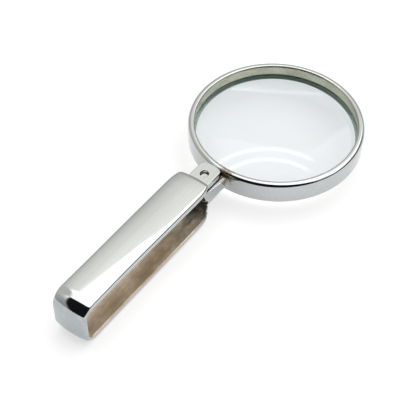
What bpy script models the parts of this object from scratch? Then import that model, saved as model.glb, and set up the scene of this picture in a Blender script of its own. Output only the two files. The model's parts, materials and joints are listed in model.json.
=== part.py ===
"""Folding hand magnifier: a lens in a turned ring, hinged in the fork of a looped grip.

Metres, +Z up along the lens axis. The grip runs along -X from the pivot, and the lens
frame swings about the pivot, which is parallel to the lens axis. The origin is at the
bottom centre of the whole object's box. Working dimensions below are in millimetres.
"""

import bmesh
import bpy
from math import asin, cos, pi, radians, sin, sqrt, tan
from mathutils import Vector

MM = 0.001

# Lens ring
RING_R = 30.0
RING_HALF_HEIGHT = 4.15
RING_EDGE_R = 1.35
RIM_INNER_R = 27.7
RIM_LIP_R = 0.6
BORE_R = 27.95
COUNTERBORE_R = 28.4
SHOULDER_Z = 0.2
RING_STEPS = 96

# Lens, domed above and flat below
LENS_R = 28.2
LENS_EDGE_TOP_Z = -0.1
LENS_EDGE_THICKNESS = 2.9
LENS_SURFACE_R = 110.0
LENS_STEPS = 72
LENS_RINGS = 6

# Ring pressed in under the lens
KEEPER_INNER_R = 26.8
KEEPER_OUTER_R = 28.2
KEEPER_TOP_Z = -3.3
KEEPER_BOTTOM_Z = -3.95
KEEPER_CHAMFER = 0.15

# Hinge
PIVOT_TO_LENS = 35.0
REST_SWING = radians(8.2)
PIVOT_HOLE_R = 1.5
PIN_R = 1.3
PIN_HALF_LENGTH = 3.65
WASHER_R = 3.4
WASHER_THICKNESS = 0.3
LUG_HALF_WIDTH = 4.9
LUG_HALF_THICKNESS = 1.95
LUG_END_R = 6.0
LUG_ROOT_R = 1.3
LUG_EDGE = 0.25
HINGE_STEPS = 48

# Grip: one bar, bent into a loop that ends in two ears
EAR_INNER_Z = 2.55
EAR_OUTER_Z = 4.85
EAR_HALF_WIDTH = 3.9
EAR_END = 4.6
EAR_CORNER_REACH = 1.8
EAR_SQUARENESS = 2.6
LEAF_INNER_Z = 6.05
LEAF_EDGE_Z = 8.3
NECK_INNER_Z = 5.6
NECK_EDGE_Z = 7.75
NECK_TAPER_END = 40.0
NECK_TAPER_REACH = 8.0
LEAF_CROWN = 0.5
LEAF_LAND = 1.6
LEAF_HALF_WIDTH = 6.5
CLOSED_END_HALF_WIDTH = 6.15
CLOSED_END_INNER = 66.0
CLOSED_END_OUTER = 67.7
SHOULDER_START = 4.3
FULL_WIDTH_FROM = 11.0
TAPER_FROM = 14.0
TAPER_TO = 48.0
EAR_EDGE_R = 0.25
LEAF_EDGE_R = 0.9
INNER_EDGE = 0.25
RELIEF_R = 4.75
RELIEF_HALF_HEIGHT = 4.35
RELIEF_OUTER_R = 20.0

GRIP_HALF_HEIGHT = LEAF_EDGE_Z + LEAF_CROWN
GRIP_LENGTH = CLOSED_END_OUTER + LEAF_CROWN
LENS_OFFSET = Vector((PIVOT_TO_LENS * cos(REST_SWING), -PIVOT_TO_LENS * sin(REST_SWING)))

# The pivot's place that puts the origin at the bottom centre of the object's box
PIVOT_X = (GRIP_LENGTH - LENS_OFFSET.x - RING_R) / 2
PIVOT_Y = -LENS_OFFSET.y


def clear_scene():
    for old in list(bpy.data.objects):
        bpy.data.objects.remove(old, do_unlink=True)


def principled(name, color, metallic, roughness, transmission=0.0):
    material = bpy.data.materials.new(name)
    material.use_nodes = True
    shader = material.node_tree.nodes["Principled BSDF"]
    shader.inputs["Base Color"].default_value = (*color, 1.0)
    shader.inputs["Metallic"].default_value = metallic
    shader.inputs["Roughness"].default_value = roughness
    shader.inputs["Transmission Weight"].default_value = transmission
    return material


def empty(name, location, turn=0.0):
    node = bpy.data.objects.new(name, None)
    bpy.context.collection.objects.link(node)
    node.location = Vector(location) * MM
    node.rotation_euler = (0.0, 0.0, turn)
    return node


def add_object(name, work, parent, location=(0, 0, 0), material=None):
    """An object from a bmesh in millimetres, placed under its parent."""
    bmesh.ops.scale(work, vec=(MM, MM, MM), verts=work.verts)
    bmesh.ops.recalc_face_normals(work, faces=work.faces)
    mesh = bpy.data.meshes.new(name)
    work.to_mesh(mesh)
    work.free()
    mesh.shade_smooth()
    mesh.set_sharp_from_angle(angle=radians(35))
    piece = bpy.data.objects.new(name, mesh)
    bpy.context.collection.objects.link(piece)
    piece.parent = parent
    piece.location = Vector(location) * MM
    if material:
        mesh.materials.append(material)
    return piece


def as_cutter(piece):
    piece.hide_render = True
    piece.display_type = "WIRE"
    return piece


def boolean(piece, other, operation):
    modifier = piece.modifiers.new(other.name, "BOOLEAN")
    modifier.operation = operation
    modifier.solver = "EXACT"
    modifier.object = other


def arc(center, radius, start, end, steps):
    """Points on an arc from one angle to another, both ends included."""
    angles = [start + (end - start) * i / steps for i in range(steps + 1)]
    return [(center[0] + radius * cos(a), center[1] + radius * sin(a)) for a in angles]


def turned(profile, steps, closed):
    """A profile of (radius, z) points turned about Z."""
    work = bmesh.new()
    verts = [work.verts.new((r, 0.0, z)) for r, z in profile]
    ends = zip(verts, verts[1:] + verts[:1]) if closed else zip(verts, verts[1:])
    edges = [work.edges.new(pair) for pair in ends]
    bmesh.ops.spin(
        work, geom=verts + edges, cent=(0, 0, 0), axis=(0, 0, 1),
        angle=2 * pi, steps=steps, use_merge=True, use_duplicate=False,
    )
    bmesh.ops.remove_doubles(work, verts=work.verts, dist=1e-4)
    return work


def cylinder(radius, half_length, edge=0.0):
    top = [(0.0, half_length), (radius - edge, half_length)]
    if edge:
        top.append((radius, half_length - edge))
    profile = top + [(r, -z) for r, z in reversed(top)]
    return turned(profile, HINGE_STEPS, closed=False)


def rounded_path(corners, steps):
    """A path through (x, z, reach) points: an arc starts and ends at that reach from each."""
    path = [Vector(corners[0][:2])]
    for before, corner, after in zip(corners, corners[1:], corners[2:]):
        here = Vector(corner[:2])
        into = (here - Vector(before[:2])).normalized()
        out = (Vector(after[:2]) - here).normalized()
        turn = into.angle(out)
        start, end = here - into * corner[2], here + out * corner[2]
        radius = corner[2] / tan(turn / 2)
        center = here + (out - into).normalized() * radius / cos(turn / 2)
        for i in range(steps + 1):
            t = i / steps
            along = sin(turn * (1 - t)) / sin(turn)
            across = sin(turn * t) / sin(turn)
            path.append(center + (start - center) * along + (end - center) * across)
    path.append(Vector(corners[-1][:2]))
    return path


# --- Grip -----------------------------------------------------------------------------

def grip_half_width(x):
    """Half width over the shoulder and leaf, x from the pivot towards the closed end."""
    if x <= SHOULDER_START:
        return EAR_HALF_WIDTH
    if x < FULL_WIDTH_FROM:
        left = (FULL_WIDTH_FROM - x) / (FULL_WIDTH_FROM - SHOULDER_START)
        return EAR_HALF_WIDTH + (LEAF_HALF_WIDTH - EAR_HALF_WIDTH) * sqrt(1 - left**2)
    along = min(max((x - TAPER_FROM) / (TAPER_TO - TAPER_FROM), 0.0), 1.0)
    return LEAF_HALF_WIDTH + (CLOSED_END_HALF_WIDTH - LEAF_HALF_WIDTH) * along


def ear_end(share):
    """Place and half width on the ear's squarish rounded end, from its tip to its side."""
    power = 2 / EAR_SQUARENESS
    angle = share * pi / 2
    x = EAR_CORNER_REACH * (1 - cos(angle) ** power) - EAR_END
    return x, EAR_HALF_WIDTH * sin(angle) ** power


def grip_stations():
    """Upper half of the loop as (outer point, inner point, half width), ear to closed end."""
    stations = []
    for i in range(7):
        x, half_width = ear_end(0.12 + 0.88 * i / 6)
        stations.append((Vector((x, EAR_OUTER_Z)), Vector((x, EAR_INNER_Z)), half_width))
    start = stations[-1][0].x
    outer = rounded_path(
        [
            (start, EAR_OUTER_Z),
            (SHOULDER_START, EAR_OUTER_Z, 0.35),
            (SHOULDER_START + 0.9, NECK_EDGE_Z, 1.4),
            (NECK_TAPER_END, LEAF_EDGE_Z, NECK_TAPER_REACH),
            (CLOSED_END_OUTER, LEAF_EDGE_Z, 5.0),
            (CLOSED_END_OUTER, 0.0),
        ],
        steps=6,
    )
    inner = rounded_path(
        [
            (start, EAR_INNER_Z),
            (3.6, EAR_INNER_Z, 0.33),
            (6.4, NECK_INNER_Z, 0.5),
            (NECK_TAPER_END, LEAF_INNER_Z, NECK_TAPER_REACH),
            (CLOSED_END_INNER, LEAF_INNER_Z, 2.0),
            (CLOSED_END_INNER, 0.0),
        ],
        steps=6,
    )
    neck_corner_end = 13
    path = list(zip(outer, inner))[1:]
    for i, (out, into) in enumerate(path):
        stations.append((out, into, grip_half_width(out.x)))
        if i == neck_corner_end:
            following_out, following_in = path[i + 1]
            for share in (0.04, 0.09, 0.16, 0.26, 0.5):
                middle = out.lerp(following_out, share)
                stations.append(
                    (middle, into.lerp(following_in, share), grip_half_width(middle.x))
                )
    return stations


def grip_fullness(x, half_width):
    """0 on the flat ears, rising over the shoulder to 1 on the crowned leaf."""
    if x >= FULL_WIDTH_FROM:
        return 1.0
    return max(0.0, (half_width - EAR_HALF_WIDTH) / (LEAF_HALF_WIDTH - EAR_HALF_WIDTH))


def grip_section(out, into, half_width, normal):
    """One closed ring of points across the bar: crowned outside, flat inside."""
    depth = (out - into).length
    fullness = grip_fullness(out.x, half_width)
    edge_r = min(EAR_EDGE_R + (LEAF_EDGE_R - EAR_EDGE_R) * fullness, 0.4 * half_width)
    crown = LEAF_CROWN * fullness
    shoulder_y = half_width - edge_r
    land = min(LEAF_LAND, 0.4 * shoulder_y)
    rows = [(half_width - INNER_EDGE * 0.5, 0.0, 0.0), (half_width, INNER_EDGE, 0.0)]
    rows += [(y, h, 0.0) for y, h in arc((shoulder_y, depth - edge_r), edge_r, 0.0, pi / 2, 4)]
    for share in (0.7, 0.35, 0.0):
        y = land + (shoulder_y - land) * share
        rows.append((y, depth, crown * (1 - share**2)))
    rows += [(-y, h, raised) for y, h, raised in reversed(rows)]
    points = []
    for y, height, raised in rows:
        place = into.lerp(out, height / depth) + normal * raised
        points.append((-place.x, y, place.y))
    return points


def grip_sections():
    """Sections of the whole loop, from the upper ear round the closed end to the lower."""
    stations = grip_stations()
    outer = [out for out, into, half_width in stations]
    outer.append(Vector((outer[-2].x, -outer[-2].y)))
    upper = []
    for i, (out, into, half_width) in enumerate(stations):
        along = (outer[i + 1] - outer[max(i - 1, 0)]).normalized()
        upper.append(grip_section(out, into, half_width, Vector((-along.y, along.x))))
    lower = [[(x, y, -z) for x, y, z in points] for points in reversed(upper[:-1])]
    return upper + lower


def loft(sections):
    """A closed solid through rings of points, flat at both ends."""
    work = bmesh.new()
    rings = [[work.verts.new(p) for p in points] for points in sections]
    for ring, following in zip(rings, rings[1:]):
        count = len(ring)
        for i in range(count):
            j = (i + 1) % count
            work.faces.new((ring[i], ring[j], following[j], following[i]))
    work.faces.new(rings[0])
    work.faces.new(reversed(rings[-1]))
    return work


def make_grip(hinge):
    grip = add_object(
        "handle", loft(grip_sections()), hinge,
        material=principled("handle_chrome", (0.78, 0.78, 0.76), 1.0, 0.08),
    )
    bore = as_cutter(add_object("ear_bore", cylinder(PIVOT_HOLE_R, 12.0), hinge))
    corner = (RELIEF_R + RING_EDGE_R, RELIEF_HALF_HEIGHT - RING_EDGE_R)
    upper = arc(corner, RING_EDGE_R, pi, pi / 2, 4) + [(RELIEF_OUTER_R, RELIEF_HALF_HEIGHT)]
    relief_profile = upper + [(r, -z) for r, z in reversed(upper)]
    relief = as_cutter(
        add_object("swing_relief", turned(relief_profile, HINGE_STEPS, closed=True), hinge)
    )
    boolean(grip, bore, "DIFFERENCE")
    boolean(grip, relief, "DIFFERENCE")
    return grip


def make_pin(hinge):
    return add_object(
        "pivot_pin", cylinder(PIN_R, PIN_HALF_LENGTH, edge=0.2), hinge,
        material=principled("pin_steel", (0.62, 0.61, 0.58), 1.0, 0.25),
    )


def make_washers(hinge):
    half = WASHER_THICKNESS / 2
    middle = (LUG_HALF_THICKNESS + EAR_INNER_Z) / 2
    hole = PIVOT_HOLE_R + 0.1
    profile = [(hole, half), (WASHER_R, half), (WASHER_R, -half), (hole, -half)]
    material = principled("washer_fibre", (0.03, 0.03, 0.03), 0.0, 0.6)
    for name, z in (("upper_washer", middle), ("lower_washer", -middle)):
        add_object(name, turned(profile, HINGE_STEPS, closed=True), hinge, (0, 0, z), material)


# --- Lens frame -----------------------------------------------------------------------

def ring_profile():
    """Section of the ring as (radius, z), from the inner rim over the top and round."""
    top, edge = RING_HALF_HEIGHT, RING_EDGE_R
    outer = arc((RING_R - edge, top - edge), edge, pi / 2, 0.0, 5)
    lip = RIM_LIP_R
    profile = arc((RIM_INNER_R + lip, top - lip), lip, pi, pi / 2, 3)
    profile += outer + [(r, -z) for r, z in reversed(outer)]
    profile += [
        (COUNTERBORE_R + 0.15, -top),
        (COUNTERBORE_R, -top + 0.15),
        (COUNTERBORE_R, SHOULDER_Z),
        (BORE_R, SHOULDER_Z),
        (BORE_R, top - lip - 0.9),
        (RIM_INNER_R, top - lip - 0.2),
    ]
    return profile


def lug_outline():
    """Plan of the hinge lug about the ring's centre, flared into the ring's wall."""
    flare_y = LUG_HALF_WIDTH + LUG_ROOT_R
    flare_x = sqrt((RING_R + LUG_ROOT_R) ** 2 - flare_y**2)
    touch = asin(flare_y / (RING_R + LUG_ROOT_R))
    end_angle = asin(LUG_HALF_WIDTH / LUG_END_R)
    root_x = (RING_R + COUNTERBORE_R) / 2 - 0.2
    root_y = RING_R * sin(touch) - 0.6
    half = [(root_x, 0.0), (root_x, root_y)]
    half += arc((flare_x, flare_y), LUG_ROOT_R, pi + touch, 1.5 * pi, 5)
    half += arc((PIVOT_TO_LENS, 0.0), LUG_END_R, end_angle, 0.0, 5)
    mirrored = [(x, -y) for x, y in reversed(half[1:-1])]
    return [(-x, y) for x, y in half + mirrored]


def make_lug():
    work = bmesh.new()
    base = [work.verts.new((x, y, -LUG_HALF_THICKNESS)) for x, y in lug_outline()]
    face = work.faces.new(base)
    raised = bmesh.ops.extrude_face_region(work, geom=[face])["geom"]
    top = [v for v in raised if isinstance(v, bmesh.types.BMVert)]
    bmesh.ops.translate(work, verts=top, vec=(0, 0, 2 * LUG_HALF_THICKNESS))
    clear_of_ring = -RING_R - 0.2
    rims = [
        e for e in work.edges
        if abs(e.verts[0].co.z - e.verts[1].co.z) < 1e-6
        and max(v.co.x for v in e.verts) < clear_of_ring
    ]
    bmesh.ops.bevel(
        work, geom=rims, offset=LUG_EDGE, segments=2, profile=0.5, affect="EDGES"
    )
    return work


def make_ring(swing):
    center = (PIVOT_TO_LENS, 0, 0)
    ring = add_object(
        "ring_frame", turned(ring_profile(), RING_STEPS, closed=True), swing, center,
        principled("ring_chrome", (0.76, 0.76, 0.74), 1.0, 0.08),
    )
    lug = as_cutter(add_object("hinge_lug", make_lug(), swing, center))
    bore = as_cutter(add_object("lug_bore", cylinder(PIVOT_HOLE_R, 8.0), swing))
    boolean(ring, lug, "UNION")
    boolean(ring, bore, "DIFFERENCE")
    return ring


def lens_profile():
    """Half section of the lens from its top centre to its bottom centre."""
    def drop(radius):
        return LENS_SURFACE_R - sqrt(LENS_SURFACE_R**2 - radius**2)

    bottom = LENS_EDGE_TOP_Z - LENS_EDGE_THICKNESS
    bulge = drop(LENS_R)
    radii = [LENS_R * i / LENS_RINGS for i in range(LENS_RINGS + 1)]
    dome = [(r, LENS_EDGE_TOP_Z + bulge - drop(r)) for r in radii]
    return dome + [(LENS_R, bottom), (0.0, bottom)]


def make_lens(swing):
    return add_object(
        "lens", turned(lens_profile(), LENS_STEPS, closed=False), swing,
        (PIVOT_TO_LENS, 0, 0), principled("lens_glass", (0.93, 0.97, 0.98), 0.0, 0.0, 1.0),
    )


def make_keeper(swing):
    profile = [
        (KEEPER_INNER_R, KEEPER_TOP_Z - KEEPER_CHAMFER),
        (KEEPER_INNER_R + KEEPER_CHAMFER, KEEPER_TOP_Z),
        (KEEPER_OUTER_R, KEEPER_TOP_Z),
        (KEEPER_OUTER_R, KEEPER_BOTTOM_Z),
        (KEEPER_INNER_R + KEEPER_CHAMFER, KEEPER_BOTTOM_Z),
        (KEEPER_INNER_R, KEEPER_BOTTOM_Z + KEEPER_CHAMFER),
    ]
    return add_object(
        "lens_retaining_ring", turned(profile, LENS_STEPS, closed=True), swing,
        (PIVOT_TO_LENS, 0, 0), principled("keeper_steel", (0.55, 0.55, 0.53), 1.0, 0.3),
    )


def main():
    clear_scene()
    pivot = (PIVOT_X, PIVOT_Y, GRIP_HALF_HEIGHT)
    hinge = empty("grip_hinge_axis", pivot)
    swing = empty("lens_swing_axis", pivot, turn=-REST_SWING)
    make_grip(hinge)
    make_pin(hinge)
    make_washers(hinge)
    make_ring(swing)
    make_lens(swing)
    make_keeper(swing)


main()
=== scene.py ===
"""Looks of the folding hand magnifier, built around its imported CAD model.

Metres, +Z up. Each piece is shaped in millimetres about the hinge axis, then placed by
the hinge and the boxes that the CAD model gives.
"""

import json
from math import asin, atan2, cos, pi, radians, sin, sqrt, tan

import bmesh
import bpy
from mathutils import Matrix, Vector


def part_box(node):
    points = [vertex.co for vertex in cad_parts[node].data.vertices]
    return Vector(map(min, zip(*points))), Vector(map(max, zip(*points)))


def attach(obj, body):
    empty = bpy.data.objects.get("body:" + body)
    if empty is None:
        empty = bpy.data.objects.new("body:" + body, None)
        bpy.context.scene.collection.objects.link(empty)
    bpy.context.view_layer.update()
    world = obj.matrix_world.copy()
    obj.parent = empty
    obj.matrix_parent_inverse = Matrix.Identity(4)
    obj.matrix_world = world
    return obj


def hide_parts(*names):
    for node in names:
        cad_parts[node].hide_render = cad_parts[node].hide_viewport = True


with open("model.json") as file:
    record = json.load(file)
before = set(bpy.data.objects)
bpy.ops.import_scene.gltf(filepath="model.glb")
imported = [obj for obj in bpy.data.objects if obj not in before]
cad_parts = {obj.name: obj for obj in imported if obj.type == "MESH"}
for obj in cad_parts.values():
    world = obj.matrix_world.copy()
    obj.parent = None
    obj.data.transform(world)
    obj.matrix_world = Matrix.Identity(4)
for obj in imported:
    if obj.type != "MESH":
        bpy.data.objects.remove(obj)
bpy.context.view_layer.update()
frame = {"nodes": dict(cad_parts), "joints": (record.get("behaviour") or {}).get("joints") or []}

MM = 0.001
MICRON = 1e-6
ROUND_STEPS = 96
SHARP_ANGLE = radians(35)
MERGE_DISTANCE = 1e-4
LEVEL_WITHIN = 1e-6

# Measures that the CAD model gives, in millimetres
PIVOT = Vector(frame["joints"][0]["pos_m"]) / MM
HANDLE_LOW, HANDLE_HIGH = (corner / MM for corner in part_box("handle"))
LENS_LOW, LENS_HIGH = (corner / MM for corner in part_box("lens"))
RING_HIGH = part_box("ring_frame")[1] / MM
KEEPER_LOW, KEEPER_HIGH = (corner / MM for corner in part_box("lens_retaining_ring"))
LENS_CENTER = (LENS_LOW + LENS_HIGH) / 2
PIVOT_TO_LENS = (LENS_CENTER - PIVOT).to_2d().length
REST_SWING = -atan2(LENS_CENTER.y - PIVOT.y, LENS_CENTER.x - PIVOT.x)

# Grip: one bar, bent into a loop that ends in two ears. Lengths run from the hinge axis
# towards the closed end, heights from mid height. A reach is how far from a corner of
# the bar's path its rounding starts.
GRIP_LENGTH = PIVOT.x - HANDLE_LOW.x
GRIP_HALF_HEIGHT = PIVOT.z - HANDLE_LOW.z
LEAF_HALF_WIDTH = (HANDLE_HIGH.y - HANDLE_LOW.y) / 2
CLOSED_END_NARROWING = 0.35
CLOSED_END_HALF_WIDTH = LEAF_HALF_WIDTH - CLOSED_END_NARROWING
EAR_END = HANDLE_HIGH.x - PIVOT.x
EAR_CORNER_REACH = 1.8
EAR_SQUARENESS = 2.6
EAR_INNER_Z = 2.55
EAR_OUTER_Z = 4.85
EAR_HALF_WIDTH = 3.9
LEAF_CROWN = 0.5
LEAF_THICKNESS = 2.25
LEAF_EDGE_Z = GRIP_HALF_HEIGHT - LEAF_CROWN
LEAF_INNER_Z = LEAF_EDGE_Z - LEAF_THICKNESS
NECK_EDGE_Z = 7.75
NECK_INNER_Z = 5.6
NECK_TAPER_END = 40.0
NECK_TAPER_REACH = 8.0
CLOSED_END_THICKNESS = 1.7
CLOSED_END_OUTER = GRIP_LENGTH - LEAF_CROWN
CLOSED_END_INNER = CLOSED_END_OUTER - CLOSED_END_THICKNESS
CLOSED_END_REACH = 5.0
CLOSED_END_INNER_REACH = 2.0
SHOULDER_START = 4.3
SHOULDER_START_REACH = 0.35
SHOULDER_SLANT = 0.9
SHOULDER_TOP = SHOULDER_START + SHOULDER_SLANT
SHOULDER_TOP_REACH = 1.4
THROAT_START = 3.6
THROAT_START_REACH = 0.33
THROAT_END = 6.4
THROAT_END_REACH = 0.5
FULL_WIDTH_FROM = 11.0
TAPER_FROM = 14.0
TAPER_TO = 48.0
EAR_EDGE_R = 0.25
LEAF_EDGE_R = 0.9
INNER_EDGE_R = 0.45
RELIEF_R = 4.75
RELIEF_HALF_HEIGHT = 4.35
RELIEF_OUTER_R = 20.0
RELIEF_EDGE_STEPS = 12
EDGE_R_LIMIT = 0.4  # of the half width, where the ear's tip is narrow
EAR_TIP_SHARE = 0.05
EAR_STEPS = 20
CORNER_STEPS = 14
STATION_GAP = 0.6
INNER_EDGE_STEPS = 6
LEAF_EDGE_STEPS = 8
CROWN_STEPS = 12
CROWN_ROUNDS = 4

# Hinge
PIN_HOLE_R = 1.5
EAR_CUT_HALF_LENGTH = 12.0
LUG_CUT_HALF_LENGTH = 8.0
LUG_HALF_WIDTH = 4.9
LUG_HALF_THICKNESS = 1.95
LUG_END_R = 6.0
LUG_ROOT_R = 1.3
LUG_ROOT_SINK = 0.2
LUG_ROOT_INSET = 0.6
LUG_EDGE = 0.25
LUG_EDGE_CLEARANCE = 0.2
LUG_EDGE_STEPS = 4
LUG_ARC_STEPS = 12

# Lens ring
RING_HALF_HEIGHT = RING_HIGH.z - PIVOT.z
RING_R = RING_HIGH.x - LENS_CENTER.x
RING_EDGE_R = 1.35
RIM_INNER_R = 27.7
RIM_LIP_R = 0.6
RIM_LIP_DEPTH = 0.2
BORE_R = 27.95
BORE_DEPTH = 0.9
COUNTERBORE_R = 28.4
COUNTERBORE_CHAMFER = 0.15
SHOULDER_Z = 0.2
RING_STEPS = 288
RING_EDGE_STEPS = 10
RIM_LIP_STEPS = 8

# Lens, domed above and flat below
LENS_R = (LENS_HIGH.x - LENS_LOW.x) / 2
LENS_EDGE_TOP_Z = -0.1
LENS_EDGE_THICKNESS = 2.9
LENS_SURFACE_R = 110.0
LENS_RINGS = 24
LENS_STEPS = 192

# Ring pressed in under the lens
KEEPER_WIDTH = 1.4
KEEPER_OUTER_R = (KEEPER_HIGH.x - KEEPER_LOW.x) / 2
KEEPER_INNER_R = KEEPER_OUTER_R - KEEPER_WIDTH
KEEPER_TOP_Z = KEEPER_HIGH.z - PIVOT.z
KEEPER_BOTTOM_Z = KEEPER_LOW.z - PIVOT.z
KEEPER_CHAMFER = 0.15
KEEPER_STEPS = 192

# Where the mesh tools place what they make: about the hinge, swung with the lens ring,
# and about the ring's centre
HINGE_PLACE = Matrix.Translation(PIVOT * MM)
SWING_PLACE = HINGE_PLACE @ Matrix.Rotation(-REST_SWING, 4, "Z")
LENS_PLACE = SWING_PLACE @ Matrix.Translation((PIVOT_TO_LENS * MM, 0, 0))


# --- Mesh tools -----------------------------------------------------------------------

def arc(center, radius, start, end, steps):
    """Points on an arc from one angle to another, both ends included."""
    angles = [start + (end - start) * i / steps for i in range(steps + 1)]
    return [(center[0] + radius * cos(a), center[1] + radius * sin(a)) for a in angles]


def mesh_object(name, work, place):
    """An object from a bmesh in millimetres, shaded smooth, at its place in metres."""
    bmesh.ops.recalc_face_normals(work, faces=work.faces)
    bmesh.ops.transform(work, matrix=place @ Matrix.Scale(MM, 4), verts=work.verts)
    mesh = bpy.data.meshes.new(name)
    work.to_mesh(mesh)
    work.free()
    mesh.shade_smooth()
    mesh.set_sharp_from_angle(angle=SHARP_ANGLE)
    piece = bpy.data.objects.new(name, mesh)
    bpy.context.scene.collection.objects.link(piece)
    return piece


def turned(profile, steps, closed):
    """A profile of (radius, z) points turned about Z."""
    work = bmesh.new()
    verts = [work.verts.new((r, 0.0, z)) for r, z in profile]
    ends = zip(verts, verts[1:] + verts[:1]) if closed else zip(verts, verts[1:])
    edges = [work.edges.new(pair) for pair in ends]
    bmesh.ops.spin(
        work, geom=verts + edges, cent=(0, 0, 0), axis=(0, 0, 1),
        angle=2 * pi, steps=steps, use_merge=True, use_duplicate=False,
    )
    bmesh.ops.remove_doubles(work, verts=work.verts, dist=MERGE_DISTANCE)
    return work


def cylinder(radius, half_length):
    """A closed cylinder about Z."""
    top, bottom = half_length, -half_length
    profile = [(0.0, top), (radius, top), (radius, bottom), (0.0, bottom)]
    return turned(profile, ROUND_STEPS, closed=False)


def combine(piece, other, operation):
    """Applies a Boolean with another object, which is then removed."""
    modifier = piece.modifiers.new(other.name, "BOOLEAN")
    modifier.operation = operation
    modifier.solver = "EXACT"
    modifier.object = other
    evaluated = piece.evaluated_get(bpy.context.evaluated_depsgraph_get())
    result = bpy.data.meshes.new_from_object(evaluated)
    piece.modifiers.clear()
    piece.data = result
    bpy.data.objects.remove(other)


def rounded_path(corners):
    """A path through (x, z, reach) points: an arc starts and ends at that reach from each."""
    path = [Vector(corners[0][:2])]
    for before, corner, after in zip(corners, corners[1:], corners[2:]):
        here = Vector(corner[:2])
        into = (here - Vector(before[:2])).normalized()
        out = (Vector(after[:2]) - here).normalized()
        turn = into.angle(out)
        start, end = here - into * corner[2], here + out * corner[2]
        radius = corner[2] / tan(turn / 2)
        center = here + (out - into).normalized() * radius / cos(turn / 2)
        for i in range(CORNER_STEPS + 1):
            t = i / CORNER_STEPS
            along = sin(turn * (1 - t)) / sin(turn)
            across = sin(turn * t) / sin(turn)
            path.append(center + (start - center) * along + (end - center) * across)
    path.append(Vector(corners[-1][:2]))
    return path


# --- Grip -----------------------------------------------------------------------------

def grip_half_width(x):
    """Half width over the shoulder and leaf, x from the pivot towards the closed end."""
    if x <= SHOULDER_START:
        return EAR_HALF_WIDTH
    if x < FULL_WIDTH_FROM:
        left = (FULL_WIDTH_FROM - x) / (FULL_WIDTH_FROM - SHOULDER_START)
        return EAR_HALF_WIDTH + (LEAF_HALF_WIDTH - EAR_HALF_WIDTH) * sqrt(1 - left**2)
    along = min(max((x - TAPER_FROM) / (TAPER_TO - TAPER_FROM), 0.0), 1.0)
    return LEAF_HALF_WIDTH + (CLOSED_END_HALF_WIDTH - LEAF_HALF_WIDTH) * along


def between(path, i, share):
    """A station part of the way from one pair of path points to the next."""
    (out, into), (next_out, next_into) = path[i], path[i + 1]
    return out.lerp(next_out, share), into.lerp(next_into, share)


def ear_end(share):
    """Place and half width on the ear's squarish rounded end, from its tip to its side."""
    power = 2 / EAR_SQUARENESS
    angle = share * pi / 2
    x = EAR_CORNER_REACH * (1 - cos(angle) ** power) - EAR_END
    return x, EAR_HALF_WIDTH * sin(angle) ** power


def grip_stations():
    """Upper half of the loop as (outer point, inner point, half width), ear to closed end."""
    stations = []
    for i in range(EAR_STEPS + 1):
        x, half_width = ear_end(EAR_TIP_SHARE + (1 - EAR_TIP_SHARE) * i / EAR_STEPS)
        stations.append((Vector((x, EAR_OUTER_Z)), Vector((x, EAR_INNER_Z)), half_width))
    start = stations[-1][0].x
    outer = rounded_path(
        [
            (start, EAR_OUTER_Z),
            (SHOULDER_START, EAR_OUTER_Z, SHOULDER_START_REACH),
            (SHOULDER_TOP, NECK_EDGE_Z, SHOULDER_TOP_REACH),
            (NECK_TAPER_END, LEAF_EDGE_Z, NECK_TAPER_REACH),
            (CLOSED_END_OUTER, LEAF_EDGE_Z, CLOSED_END_REACH),
            (CLOSED_END_OUTER, 0.0),
        ]
    )
    inner = rounded_path(
        [
            (start, EAR_INNER_Z),
            (THROAT_START, EAR_INNER_Z, THROAT_START_REACH),
            (THROAT_END, NECK_INNER_Z, THROAT_END_REACH),
            (NECK_TAPER_END, LEAF_INNER_Z, NECK_TAPER_REACH),
            (CLOSED_END_INNER, LEAF_INNER_Z, CLOSED_END_INNER_REACH),
            (CLOSED_END_INNER, 0.0),
        ]
    )
    path = list(zip(outer, inner))
    for i in range(1, len(path)):
        gap = (path[i][0] - path[i - 1][0]).length
        parts = max(1, round(gap / STATION_GAP))
        for k in range(1, parts + 1):
            out, into = between(path, i - 1, k / parts)
            stations.append((out, into, grip_half_width(out.x)))
    return stations


def grip_fullness(x, half_width):
    """0 on the flat ears, rising over the shoulder to 1 on the crowned leaf."""
    if x >= FULL_WIDTH_FROM:
        return 1.0
    return max(0.0, (half_width - EAR_HALF_WIDTH) / (LEAF_HALF_WIDTH - EAR_HALF_WIDTH))


def grip_section(out, into, half_width, normal):
    """One closed ring of points across the bar: crowned outside, flat inside."""
    depth = (out - into).length
    fullness = grip_fullness(out.x, half_width)
    most = EDGE_R_LIMIT * half_width
    edge_r = min(EAR_EDGE_R + (LEAF_EDGE_R - EAR_EDGE_R) * fullness, most)
    crown = LEAF_CROWN * fullness
    slope = 0.0
    for _ in range(CROWN_ROUNDS):  # the slope and the edge that it starts from settle
        shoulder_y = half_width - edge_r * (1 - sin(slope))
        slope = atan2(2 * crown, shoulder_y)
    center = (half_width - edge_r, depth - edge_r * cos(slope))
    inner_r = min(EAR_EDGE_R + (INNER_EDGE_R - EAR_EDGE_R) * fullness, most)
    inner = arc((half_width - inner_r, inner_r), inner_r, -pi / 2, 0.0, INNER_EDGE_STEPS)
    outer = arc(center, edge_r, 0.0, pi / 2 - slope, LEAF_EDGE_STEPS)
    rows = [(y, h, 0.0) for y, h in inner + outer]
    for i in range(1, CROWN_STEPS + 1):
        share = 1 - i / CROWN_STEPS
        rows.append((shoulder_y * share, depth, crown * (1 - share**2)))
    rows += [(-y, h, raised) for y, h, raised in reversed(rows[:-1])]
    points = []
    for y, height, raised in rows:
        place = into.lerp(out, height / depth) + normal * raised
        points.append((-place.x, y, place.y))
    return points


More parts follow.
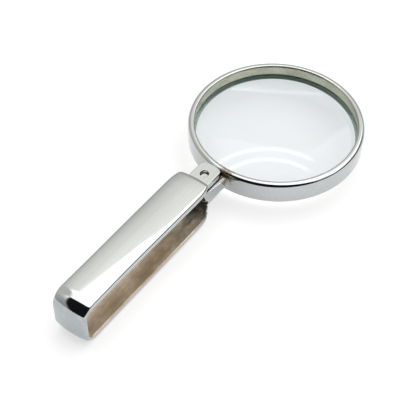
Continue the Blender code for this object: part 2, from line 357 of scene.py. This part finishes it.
def grip_sections():
    """Sections of the whole loop, from the upper ear round the closed end to the lower."""
    stations = grip_stations()
    outer = [out for out, into, half_width in stations]
    outer.append(Vector((outer[-2].x, -outer[-2].y)))
    upper = []
    for i, (out, into, half_width) in enumerate(stations):
        along = (outer[i + 1] - outer[max(i - 1, 0)]).normalized()
        upper.append(grip_section(out, into, half_width, Vector((-along.y, along.x))))
    lower = [[(x, y, -z) for x, y, z in points] for points in reversed(upper[:-1])]
    return upper + lower


def loft(sections):
    """A closed solid through rings of points, flat at both ends."""
    work = bmesh.new()
    rings = [[work.verts.new(p) for p in points] for points in sections]
    for ring, following in zip(rings, rings[1:]):
        count = len(ring)
        for i in range(count):
            j = (i + 1) % count
            work.faces.new((ring[i], ring[j], following[j], following[i]))
    work.faces.new(rings[0])
    work.faces.new(reversed(rings[-1]))
    return work


def make_grip():
    """The bar, with the pin's hole and the relief that the lug and ring swing through."""
    grip = mesh_object("grip_bar", loft(grip_sections()), HINGE_PLACE)
    bore = mesh_object("ear_bore", cylinder(PIN_HOLE_R, EAR_CUT_HALF_LENGTH), HINGE_PLACE)
    corner = (RELIEF_R + RING_EDGE_R, RELIEF_HALF_HEIGHT - RING_EDGE_R)
    upper = arc(corner, RING_EDGE_R, pi, pi / 2, RELIEF_EDGE_STEPS)
    upper.append((RELIEF_OUTER_R, RELIEF_HALF_HEIGHT))
    profile = upper + [(r, -z) for r, z in reversed(upper)]
    relief = mesh_object("swing_relief", turned(profile, ROUND_STEPS, closed=True), HINGE_PLACE)
    combine(grip, bore, "DIFFERENCE")
    combine(grip, relief, "DIFFERENCE")
    return grip


# --- Lens ring ------------------------------------------------------------------------

def ring_profile():
    """Section of the ring as (radius, z), from the inner rim over the top and round."""
    top, edge = RING_HALF_HEIGHT, RING_EDGE_R
    outer = arc((RING_R - edge, top - edge), edge, pi / 2, 0.0, RING_EDGE_STEPS)
    lip = RIM_LIP_R
    profile = arc((RIM_INNER_R + lip, top - lip), lip, pi, pi / 2, RIM_LIP_STEPS)
    profile += outer + [(r, -z) for r, z in reversed(outer)]
    profile += [
        (COUNTERBORE_R + COUNTERBORE_CHAMFER, -top),
        (COUNTERBORE_R, -top + COUNTERBORE_CHAMFER),
        (COUNTERBORE_R, SHOULDER_Z),
        (BORE_R, SHOULDER_Z),
        (BORE_R, top - lip - BORE_DEPTH),
        (RIM_INNER_R, top - lip - RIM_LIP_DEPTH),
    ]
    return profile


def lug_outline():
    """Plan of the hinge lug about the ring's centre, flared into the ring's wall."""
    flare_y = LUG_HALF_WIDTH + LUG_ROOT_R
    flare_x = sqrt((RING_R + LUG_ROOT_R) ** 2 - flare_y**2)
    touch = asin(flare_y / (RING_R + LUG_ROOT_R))
    end_angle = asin(LUG_HALF_WIDTH / LUG_END_R)
    root_x = (RING_R + COUNTERBORE_R) / 2 - LUG_ROOT_SINK
    root_y = RING_R * sin(touch) - LUG_ROOT_INSET
    half = [(root_x, 0.0), (root_x, root_y)]
    half += arc((flare_x, flare_y), LUG_ROOT_R, pi + touch, 1.5 * pi, LUG_ARC_STEPS)
    half += arc((PIVOT_TO_LENS, 0.0), LUG_END_R, end_angle, 0.0, LUG_ARC_STEPS)
    mirrored = [(x, -y) for x, y in reversed(half[1:-1])]
    return [(-x, y) for x, y in half + mirrored]


def make_lug():
    """The lug as a plate, its rims rounded where they stand clear of the ring."""
    work = bmesh.new()
    base = [work.verts.new((x, y, -LUG_HALF_THICKNESS)) for x, y in lug_outline()]
    face = work.faces.new(base)
    raised = bmesh.ops.extrude_face_region(work, geom=[face])["geom"]
    top = [v for v in raised if isinstance(v, bmesh.types.BMVert)]
    bmesh.ops.translate(work, verts=top, vec=(0, 0, 2 * LUG_HALF_THICKNESS))
    clear_of_ring = -RING_R - LUG_EDGE_CLEARANCE
    rims = [
        e for e in work.edges
        if abs(e.verts[0].co.z - e.verts[1].co.z) < LEVEL_WITHIN
        and max(v.co.x for v in e.verts) < clear_of_ring
    ]
    bmesh.ops.bevel(
        work, geom=rims, offset=LUG_EDGE, segments=LUG_EDGE_STEPS, profile=0.5, affect="EDGES"
    )
    return work


def make_ring():
    """The turned ring joined to its lug, with the pin's hole."""
    ring = mesh_object("lens_ring", turned(ring_profile(), RING_STEPS, closed=True), LENS_PLACE)
    lug = mesh_object("hinge_lug", make_lug(), LENS_PLACE)
    bore = mesh_object("lug_bore", cylinder(PIN_HOLE_R, LUG_CUT_HALF_LENGTH), SWING_PLACE)
    combine(ring, lug, "UNION")
    combine(ring, bore, "DIFFERENCE")
    return ring


def lens_profile():
    """Half section of the lens from its top centre to its bottom centre."""
    def drop(radius):
        return LENS_SURFACE_R - sqrt(LENS_SURFACE_R**2 - radius**2)

    bottom = LENS_EDGE_TOP_Z - LENS_EDGE_THICKNESS
    bulge = drop(LENS_R)
    radii = [LENS_R * i / LENS_RINGS for i in range(LENS_RINGS + 1)]
    dome = [(r, LENS_EDGE_TOP_Z + bulge - drop(r)) for r in radii]
    return dome + [(LENS_R, bottom), (0.0, bottom)]


def make_lens():
    """The lens, turned about its own axis."""
    glass = turned(lens_profile(), LENS_STEPS, closed=False)
    return mesh_object("magnifying_lens", glass, LENS_PLACE)


def make_keeper():
    """The thin ring under the lens, its inner corners chamfered."""
    profile = [
        (KEEPER_INNER_R, KEEPER_TOP_Z - KEEPER_CHAMFER),
        (KEEPER_INNER_R + KEEPER_CHAMFER, KEEPER_TOP_Z),
        (KEEPER_OUTER_R, KEEPER_TOP_Z),
        (KEEPER_OUTER_R, KEEPER_BOTTOM_Z),
        (KEEPER_INNER_R + KEEPER_CHAMFER, KEEPER_BOTTOM_Z),
        (KEEPER_INNER_R, KEEPER_BOTTOM_Z + KEEPER_CHAMFER),
    ]
    return mesh_object("keeper_ring", turned(profile, KEEPER_STEPS, closed=True), LENS_PLACE)


# --- Materials ------------------------------------------------------------------------

# Noise scales are per metre: at 1000, the marks are about a millimetre across.

CHROME = (0.54, 0.556, 0.56)
# Darker, bluish plating: a painted darker reflection on the closed end
CHROME_END_REFLECTION = (0.405, 0.44, 0.455)
# Dull brown: the core of the painted shade round the lug root
CHROME_DEEP_SHADE = (0.17, 0.13, 0.085)
SATIN_PALE = (0.78, 0.69, 0.57)
SATIN_BROWN = (0.44, 0.355, 0.26)
SATIN_SPECK = (0.30, 0.235, 0.17)
# Near black: painted shade in the loop's throat by the neck
SATIN_THROAT_SHADE = (0.12, 0.105, 0.088)
# Greenish plating: a painted reflection of the lens's green edge
BORE_PALE_WITH_REFLECTION = (0.64, 0.66, 0.54)
BORE_DARK_WITH_REFLECTION = (0.48, 0.49, 0.38)
FIBRE_DARK = (0.018, 0.018, 0.017)
FIBRE_PALE = (0.05, 0.047, 0.042)
# Glass tint: the glass's faint blue, darkened as painted shade for the shadow that the glass
# does not cast
GLASS_TINT_AND_SHADE = (0.765, 0.795, 0.82)
GLASS_HAZE_AND_SHADE = (0.755, 0.785, 0.81)
GLASS_IOR = 1.52
GROUND_DARK = (0.030, 0.052, 0.030)
GROUND_PALE = (0.065, 0.10, 0.062)
PAPER_PALE = (0.51, 0.51, 0.51)
PAPER_DARK = (0.49, 0.49, 0.49)
PAPER_GLOW = (0.6, 0.6, 0.6)
PIN_STEEL = (0.6, 0.6, 0.58)
KEEPER_STEEL = (0.3, 0.37, 0.34)
KEEPER_GLOW = (0.045, 0.07, 0.058)


def dimmed(color, share):
    """A colour scaled down to a share of its brightness."""
    return tuple(part * share for part in color)


class Nodes:
    """A small helper that adds and links nodes in one tree."""

    def __init__(self, tree):
        self.tree = tree

    def add(self, kind, **settings):
        node = self.tree.nodes.new(kind)
        for key, value in settings.items():
            setattr(node, key, value)
        return node

    def link(self, source, target):
        self.tree.links.new(source, target)

    def part(self, vector, axis):
        """One coordinate of a vector, named X, Y or Z."""
        split = self.add("ShaderNodeSeparateXYZ")
        self.link(vector, split.inputs["Vector"])
        return split.outputs[axis]

    def noise(self, vector, scale, detail, stretch=(1, 1, 1), turn=0.0):
        """Noise over a position, drawn out along an axis by a small stretch value."""
        mapping = self.add("ShaderNodeMapping")
        mapping.inputs["Scale"].default_value = stretch
        mapping.inputs["Rotation"].default_value = (0, 0, turn)
        texture = self.add("ShaderNodeTexNoise")
        texture.inputs["Scale"].default_value = scale
        texture.inputs["Detail"].default_value = detail
        self.link(vector, mapping.inputs["Vector"])
        self.link(mapping.outputs["Vector"], texture.inputs["Vector"])
        return texture.outputs["Fac"]

    def ranged(self, value, low, high, from_low=0.3, from_high=0.7):
        """A value moved from one range to another; the default suits noise."""
        node = self.add("ShaderNodeMapRange")
        names = ("From Min", "From Max", "To Min", "To Max")
        for name, number in zip(names, (from_low, from_high, low, high)):
            node.inputs[name].default_value = number
        self.link(value, node.inputs["Value"])
        return node.outputs["Result"]

    def math(self, operation, *values):
        node = self.add("ShaderNodeMath", operation=operation)
        for socket, value in zip(node.inputs, values):
            if isinstance(value, (int, float)):
                socket.default_value = value
            else:
                self.link(value, socket)
        return node.outputs["Value"]

    def blend(self, share, first, second):
        """A colour mixed from two by a share."""
        node = self.add("ShaderNodeMix", data_type="RGBA")
        self.link(share, node.inputs["Factor"])
        for socket, value in ((node.inputs[6], first), (node.inputs[7], second)):
            if isinstance(value, tuple):
                socket.default_value = (*value, 1.0)
            else:
                self.link(value, socket)
        return node.outputs[2]

    def bump(self, height, distance, after=None):
        """A normal raised by a height, with the distance in metres."""
        node = self.add("ShaderNodeBump")
        node.inputs["Strength"].default_value = 1.0
        node.inputs["Distance"].default_value = distance
        self.link(height, node.inputs["Height"])
        if after is not None:
            self.link(after, node.inputs["Normal"])
        return node.outputs["Normal"]


def new_material(name, **sockets):
    """A material with its Principled shader and object position, ready for more nodes."""
    material = bpy.data.materials.new(name)
    material.use_nodes = True
    nodes = Nodes(material.node_tree)
    shader = material.node_tree.nodes["Principled BSDF"]
    for key, value in sockets.items():
        shader.inputs[key.replace("_", " ")].default_value = value
    position = nodes.add("ShaderNodeTexCoord").outputs["Object"]
    return material, nodes, shader, position


def set_surface(nodes, shader, color, roughness, normal=None):
    """Links the sources of a shader's colour, roughness and, where given, normal."""
    nodes.link(color, shader.inputs["Base Color"])
    nodes.link(roughness, shader.inputs["Roughness"])
    if normal is not None:
        nodes.link(normal, shader.inputs["Normal"])


def polished_chrome(name, turn=0.0, shade_at=None, end_reflection_from=None):
    """Bright plating over polished metal: faint polishing lines and soft smudges.

    With shade_at, painted shade darkens the plating round that place, in millimetres, to a dull,
    brown, speckled core.
    With end_reflection_from, it is darker and mottled on the closed end, beyond that x: a
    painted darker reflection.
    """
    material, nodes, shader, position = new_material(name, Metallic=1.0)
    lines = nodes.noise(position, 900, 3.0, stretch=(0.03, 1, 1), turn=turn)
    smudges = nodes.noise(position, 90, 4.0)
    waves = nodes.noise(position, 160, 1.0, stretch=(0.25, 1, 1), turn=turn)
    streaks = nodes.noise(position, 1100, 3.0, stretch=(0.012, 1, 1), turn=turn)
    tint = nodes.blend(nodes.ranged(smudges, 0, 1), CHROME, dimmed(CHROME, 0.95))
    tint = nodes.blend(nodes.ranged(streaks, 0, 0.25), tint, dimmed(CHROME, 0.8))
    dull = nodes.math("ADD", nodes.ranged(lines, 0.0, 0.02), nodes.ranged(smudges, 0.02, 0.06))
    # Painted darker reflection on the closed end: the plating turns darker, bluish and mottled
    # there
    if end_reflection_from is not None:
        mottle = nodes.ranged(nodes.noise(position, 420, 4.0), -1.2 * MM, 1.2 * MM)
        beyond = nodes.math("ADD", nodes.part(position, "X"), mottle)
        end_reflection = nodes.ranged(beyond, 1, 0, (end_reflection_from - 0.8) * MM, (end_reflection_from + 1.2) * MM)
        tint = nodes.blend(end_reflection, tint, CHROME_END_REFLECTION)
        dull = nodes.math("ADD", dull, nodes.math("MULTIPLY", end_reflection, 0.04))
    # Painted shade round the lug root: the plating dims towards it and turns dull, brown and
    # speckled at its core
    if shade_at is not None:
        apart = nodes.add("ShaderNodeVectorMath", operation="DISTANCE")
        nodes.link(position, apart.inputs[0])
        apart.inputs[1].default_value = shade_at * MM
        shade = nodes.ranged(apart.outputs["Value"], 0.7, 0, 4 * MM, 17 * MM)
        tint = nodes.blend(shade, tint, dimmed(CHROME, 0.7))
        specks = nodes.ranged(nodes.noise(position, 1300, 4.0), -1.5 * MM, 1.5 * MM)
        reach = nodes.math("ADD", apart.outputs["Value"], specks)
        deep_shade = nodes.ranged(reach, 0.85, 0, 1.2 * MM, 3.8 * MM)
        tint = nodes.blend(deep_shade, tint, CHROME_DEEP_SHADE)
        dull = nodes.math("ADD", dull, nodes.math("MULTIPLY", deep_shade, 0.3))
    fine = nodes.bump(lines, 1.5 * MICRON)
    set_surface(nodes, shader, tint, dull, nodes.bump(waves, 20 * MICRON, after=fine))
    return material


def satin_plating(name):
    """The loop's inner faces: warm, brushed, hardly polished plating, with painted shade that
    turns it black near the neck.
    """
    material, nodes, shader, position = new_material(name, Metallic=0.85)
    brushed = nodes.noise(position, 1400, 4.0, stretch=(0.04, 1, 1))
    clouds = nodes.noise(position, 150, 8.0, stretch=(0.5, 1, 1))
    specks = nodes.noise(position, 900, 3.0, stretch=(0.6, 1, 1))
    warm = nodes.blend(nodes.ranged(clouds, 0, 1, 0.36, 0.64), SATIN_PALE, SATIN_BROWN)
    warm = nodes.blend(nodes.ranged(specks, 0, 0.45), warm, SATIN_SPECK)
    # Painted shade in the narrowing throat: the plating turns black towards the neck
    edge = nodes.ranged(clouds, -9 * MM, 9 * MM)
    along = nodes.math("ADD", nodes.part(position, "X"), edge)
    deep_shade = nodes.ranged(along, 0, 1, (PIVOT.x - 19) * MM, (PIVOT.x - 8) * MM)
    tone = nodes.blend(deep_shade, warm, SATIN_THROAT_SHADE)
    roughness = nodes.ranged(brushed, 0.32, 0.46)
    set_surface(nodes, shader, tone, roughness, nodes.bump(brushed, 4 * MICRON))
    return material


def bore_plating(name):
    """The wall inside the ring, left as turned, with a soft sheen; its greenish tint is a
    painted reflection of the lens's green edge.
    """
    material, nodes, shader, position = new_material(name, Metallic=0.9)
    marks = nodes.noise(position, 1500, 3.0, stretch=(1, 1, 3))
    clouds = nodes.noise(position, 120, 4.0)
    tone = nodes.blend(nodes.ranged(clouds, 0, 1), BORE_PALE_WITH_REFLECTION, BORE_DARK_WITH_REFLECTION)
    roughness = nodes.ranged(marks, 0.25, 0.36)
    set_surface(nodes, shader, tone, roughness, nodes.bump(marks, 3 * MICRON))
    return material


def turned_steel(name, color, low, high, glow=(0.0, 0.0, 0.0)):
    """Plain turned steel with fine tool marks, its roughness from low to high.

    The glow stands for light from the glass on it.
    """
    material, nodes, shader, position = new_material(name, Metallic=1.0)
    marks = nodes.noise(position, 1800, 3.0)
    tone = nodes.blend(nodes.ranged(marks, 0, 1), color, dimmed(color, 0.8))
    roughness = nodes.ranged(marks, low, high)
    set_surface(nodes, shader, tone, roughness, nodes.bump(marks, 10 * MICRON))
    shader.inputs["Emission Color"].default_value = (*glow, 1.0)
    shader.inputs["Emission Strength"].default_value = 1.0
    return material


def dark_fibre(name):
    """Matt pressed fibre for the washers."""
    material, nodes, shader, position = new_material(name, Metallic=0.0)
    grain = nodes.noise(position, 2600, 4.0)
    tone = nodes.blend(nodes.ranged(grain, 0, 1), FIBRE_DARK, FIBRE_PALE)
    roughness = nodes.ranged(grain, 0.55, 0.8)
    set_surface(nodes, shader, tone, roughness, nodes.bump(grain, 30 * MICRON))
    return material


def clear_glass(name):
    """Polished optical glass with a breath of haze, tinted like the photo's."""
    material, nodes, shader, position = new_material(
        name, Metallic=0.0, IOR=GLASS_IOR, Transmission_Weight=1.0
    )
    haze = nodes.noise(position, 60, 4.0)
    # The tint is partly painted shade: it darkens what is seen through the glass, for the shadow
    # that the glass does not cast
    tint = nodes.blend(nodes.ranged(haze, 0, 1), GLASS_TINT_AND_SHADE, GLASS_HAZE_AND_SHADE)
    set_surface(nodes, shader, tint, nodes.ranged(haze, 0.0, 0.012))
    return material


def ground_glass(name):
    """The lens's ground edge, which looks dark green inside its seat."""
    material, nodes, shader, position = new_material(name, Metallic=0.0, IOR=GLASS_IOR)
    grain = nodes.noise(position, 3000, 3.0)
    tone = nodes.blend(nodes.ranged(grain, 0, 1), GROUND_DARK, GROUND_PALE)
    roughness = nodes.ranged(grain, 0.45, 0.65)
    set_surface(nodes, shader, tone, roughness, nodes.bump(grain, 20 * MICRON))
    return material


def pale_paper(name):
    """The plain pale floor, with a glow that keeps it white in the shade."""
    material, nodes, shader, position = new_material(name, Specular_IOR_Level=0.2)
    fibres = nodes.noise(position, 600, 4.0)
    tone = nodes.blend(nodes.ranged(fibres, 0, 1), PAPER_PALE, PAPER_DARK)
    set_surface(nodes, shader, tone, nodes.ranged(fibres, 0.85, 0.95))
    shader.inputs["Emission Color"].default_value = (*PAPER_GLOW, 1.0)
    shader.inputs["Emission Strength"].default_value = 1.0
    return material


def give(piece, *materials):
    """Fills a piece's material slots anew."""
    piece.data.materials.clear()
    for material in materials:
        piece.data.materials.append(material)


def paint_where(piece, index, test):
    """Gives a material slot to each face whose centre and normal pass the test."""
    for polygon in piece.data.polygons:
        if test(polygon.center / MM, polygon.normal):
            polygon.material_index = index


# --- Pieces on their bodies -----------------------------------------------------------

# Limits of the painted faces, in millimetres and as parts of a face's normal
EAR_PAINT_END = RELIEF_R - 1.5
END_WALL_START = CLOSED_END_INNER - 3
LOOP_PAINT_Z = LEAF_INNER_Z + 0.2
LOOP_FACING = 0.3
END_WALL_FACING = 0.5
BORE_FACING = 0.6
BORE_PAINT_FROM, BORE_PAINT_TO = BORE_R - 0.5, COUNTERBORE_R + 0.3
LENS_EDGE_FACING = 0.3


def inside_loop(center, normal):
    """True on the faces of the bar that look into the loop, clear of the ears."""
    along = PIVOT.x - center.x
    height = abs(center.z - PIVOT.z)
    faces_in = normal.z * (PIVOT.z - center.z) > LOOP_FACING * height
    end_wall = normal.x > END_WALL_FACING and along > END_WALL_START
    return along > EAR_PAINT_END and (faces_in or end_wall) and height < LOOP_PAINT_Z


def inside_bore(center, normal):
    """True on the wall inside the ring, below its rounded lip."""
    out = Vector((center.x - LENS_CENTER.x, center.y - LENS_CENTER.y))
    looks_in = normal.xy.dot(out) < -BORE_FACING * out.length
    return looks_in and BORE_PAINT_FROM < out.length < BORE_PAINT_TO


def lens_edge(center, normal):
    """True on the ground edge of the lens."""
    return abs(normal.z) < LENS_EDGE_FACING


# Where the painted darker reflection and the painted shade sit on the plating, in millimetres
END_REFLECTION_FROM = HANDLE_LOW.x + 1.4
LUG_ROOT = Vector((PIVOT_TO_LENS - RING_R + 0.4, -4.2, 3.0))


grip = make_grip()
give(grip, polished_chrome("grip_plating", end_reflection_from=END_REFLECTION_FROM),
     satin_plating("grip_inner_plating"))
paint_where(grip, 1, inside_loop)
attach(grip, "grip")
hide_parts("handle")

ring = make_ring()
lug_root = SWING_PLACE @ (LUG_ROOT * MM) / MM
give(ring, polished_chrome("ring_plating", turn=REST_SWING, shade_at=lug_root),
     bore_plating("ring_bore_plating"))
paint_where(ring, 1, inside_bore)
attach(ring, "lens_frame")
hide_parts("ring_frame")

lens = make_lens()
give(lens, clear_glass("lens_glass"), ground_glass("lens_edge"))
paint_where(lens, 1, lens_edge)
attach(lens, "lens_frame")
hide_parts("lens")
# The glass casts no shadow and blocks no soft light, so what lies under it stays bright
lens.visible_shadow = False
lens.visible_diffuse = False

keeper = make_keeper()
give(keeper, turned_steel("keeper_steel", KEEPER_STEEL, 0.25, 0.4, glow=KEEPER_GLOW))
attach(keeper, "lens_frame")
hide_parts("lens_retaining_ring")

give(frame["nodes"]["pivot_pin"], turned_steel("pin_steel", PIN_STEEL, 0.15, 0.3))
fibre = dark_fibre("washer_fibre")
for washer in ("upper_washer", "lower_washer"):
    give(frame["nodes"][washer], fibre)


# --- Studio ---------------------------------------------------------------------------

def direction(azimuth, elevation):
    """A unit vector, azimuth from +X towards +Y and elevation above the floor, in degrees."""
    a, e = radians(azimuth), radians(elevation)
    return Vector((cos(e) * cos(a), cos(e) * sin(a), sin(e)))


def half_space(nodes, ray, normal, softness):
    """1 on the side of the dome that a plane's normal points to, 0 on the other.

    The change between them is spread over the softness, in degrees, to either side.
    """
    across = nodes.add("ShaderNodeVectorMath", operation="DOT_PRODUCT")
    nodes.link(ray, across.inputs[0])
    across.inputs[1].default_value = normal
    edge = nodes.add("ShaderNodeMapRange", interpolation_type="SMOOTHSTEP")
    edge.inputs["From Min"].default_value = -sin(radians(softness))
    edge.inputs["From Max"].default_value = sin(radians(softness))
    nodes.link(across.outputs["Value"], edge.inputs["Value"])
    return edge.outputs["Result"]


def tube_mask(nodes, ray, height, low, high, start, end):
    """1 inside a level band of the dome between two elevations and two azimuths."""
    middle = sin(radians((low + high) / 2))
    half = (sin(radians(high)) - sin(radians(low))) / 2
    offset = nodes.math("ABSOLUTE", nodes.math("SUBTRACT", height, middle))
    mask = nodes.ranged(offset, 1, 0, TUBE_CORE * half, TUBE_FADE * half)
    for azimuth, side in ((start, 1), (end, -1)):
        plane = Vector((-sin(radians(azimuth)), cos(radians(azimuth)), 0)) * side
        end_mask = half_space(nodes, ray, plane, softness=2)
        mask = nodes.math("MULTIPLY", mask, end_mask)
    return mask


def panel_mask(nodes, ray, corners, softness):
    """1 inside a panel of the dome with those corners, 0 outside, soft at its edges."""
    points = [direction(*corner) for corner in corners]
    middle = sum(points, Vector())
    mask = None
    for start, end in zip(points, points[1:] + points[:1]):
        plane = start.cross(end).normalized()
        if plane.dot(middle) < 0:
            plane.negate()
        inside = half_space(nodes, ray, plane, softness)
        mask = inside if mask is None else nodes.math("MULTIPLY", mask, inside)
    return mask


# Light of the walls, from the horizon up: (height as the sine of elevation, colour)
WALL_RAMP = [
    (0.0, (0.50, 0.52, 0.53)),
    (0.50, (0.64, 0.64, 0.62)),
    (0.65, (1.08, 1.08, 1.02)),
    (0.83, (1.49, 1.47, 1.40)),
]
CEILING_FROM = (0.72, 0.77)  # heights between which the walls turn into the ceiling
CEILING_LIGHT = (2.2, 2.2, 2.2)

# Panels of the dome that the plating mirrors, as (azimuth, elevation) corners in degrees
FAR_WALL = [
    (66, 20), (60, 48), (50, 53), (42, 55.5), (34, 58), (27, 59), (17, 58.5), (11.5, 56),
    (8, 52), (4.5, 20),
]
LEFT_WALL = [(62, 20), (60, 52), (70, 59), (95, 62), (120, 57), (124, 20)]
SIDE_PANEL = [(9.5, 27), (9.5, 85), (-100, 85), (-75, 26)]
FLOOR_GAP = [(-20, -4), (-20, 23), (-60, 26), (-98, 23), (-98, -4)]
DARK_ROOM = [(116, 57), (160, -8), (184, -17), (264, -17), (264, 56), (205, 78)]
LEFT_WALL_LIGHT = (0.80, 0.80, 0.72)
FLOOR_GAP_LIGHT = (0.05, 0.05, 0.05)
DARK_ROOM_LIGHT = (0.012, 0.014, 0.012)

# Tube lights in the ceiling: (lowest and highest elevation, from and to azimuth)
TUBES = [(57.5, 59.2, 6, 71), (62.5, 64.3, 3, 70)]
TUBE_LIGHT = (5.0, 5.1, 5.2)
TUBE_CORE = 0.3  # of half a tube's width: full light up to here
TUBE_FADE = 1.6  # and none from here on


def make_world():
    """The studio as light from a dome: walls, ceiling, panels over them, then the tubes."""
    world = bpy.data.worlds.new("studio")
    bpy.context.scene.world = world
    world.use_nodes = True
    nodes = Nodes(world.node_tree)
    background = world.node_tree.nodes["Background"]
    ray = nodes.add("ShaderNodeTexCoord").outputs["Generated"]
    height = nodes.part(ray, "Z")
    wall = WALL_RAMP[0][1]
    for (low, _), (high, tone) in zip(WALL_RAMP, WALL_RAMP[1:]):
        wall = nodes.blend(nodes.ranged(height, 0, 1, low, high), wall, tone)
    color = nodes.blend(nodes.ranged(height, 0, 1, *CEILING_FROM), wall, CEILING_LIGHT)
    # Each panel covers those before it: (corners, softness in degrees, light)
    for corners, softness, light in (
        (SIDE_PANEL, 3, CEILING_LIGHT),
        (FAR_WALL, 1, wall),
        (LEFT_WALL, 5, LEFT_WALL_LIGHT),
        (FLOOR_GAP, 4, FLOOR_GAP_LIGHT),
        (DARK_ROOM, 2.5, DARK_ROOM_LIGHT),
    ):
        color = nodes.blend(panel_mask(nodes, ray, corners, softness), color, light)
    for tube in TUBES:
        color = nodes.blend(tube_mask(nodes, ray, height, *tube), color, TUBE_LIGHT)
    nodes.link(color, background.inputs["Color"])


FLOOR_HALF_WIDTH = 3000.0


def make_floor():
    """A pale sheet much wider than the view."""
    work = bmesh.new()
    bmesh.ops.create_grid(work, x_segments=8, y_segments=8, size=FLOOR_HALF_WIDTH)
    floor = mesh_object("floor", work, Matrix.Translation((0, 0, HANDLE_LOW.z * MM)))
    give(floor, pale_paper("pale_paper"))


# Camera, aimed at the lens from its distance (mm), azimuth and elevation (degrees), then
# turned a little
CAMERA_DISTANCE = 371.4
CAMERA_AZIMUTH = 210.4
CAMERA_ELEVATION = 44.6
CAMERA_PAN = radians(-3.27)
CAMERA_TILT = radians(-4.39)
CAMERA_ROLL = radians(4.03)
CAMERA_LENS = 93.7


def swung(first, second, angle):
    """Two axes turned by an angle in their plane, from the first towards the second."""
    return (first * cos(angle) + second * sin(angle),
            second * cos(angle) - first * sin(angle))


def make_camera():
    """The camera that stands where the photo was taken from."""
    back = direction(CAMERA_AZIMUTH, CAMERA_ELEVATION)
    forward = -back
    right = forward.cross(Vector((0, 0, 1))).normalized()
    up = right.cross(forward)
    forward, right = swung(forward, right, CAMERA_PAN)
    forward, up = swung(forward, up, CAMERA_TILT)
    right, up = swung(right, up, CAMERA_ROLL)
    center = Vector((LENS_CENTER.x, LENS_CENTER.y, PIVOT.z))
    camera = bpy.data.objects.new("camera", bpy.data.cameras.new("camera"))
    bpy.context.scene.collection.objects.link(camera)
    turn = Matrix((right, up, -forward)).transposed()
    place = (center + back * CAMERA_DISTANCE) * MM
    camera.matrix_world = Matrix.Translation(place) @ turn.to_4x4()
    camera.data.lens = CAMERA_LENS
    camera.data.clip_start = 10 * MM
    bpy.context.scene.camera = camera


make_world()
make_floor()
make_camera()
bpy.context.scene.view_settings.view_transform = "Standard"
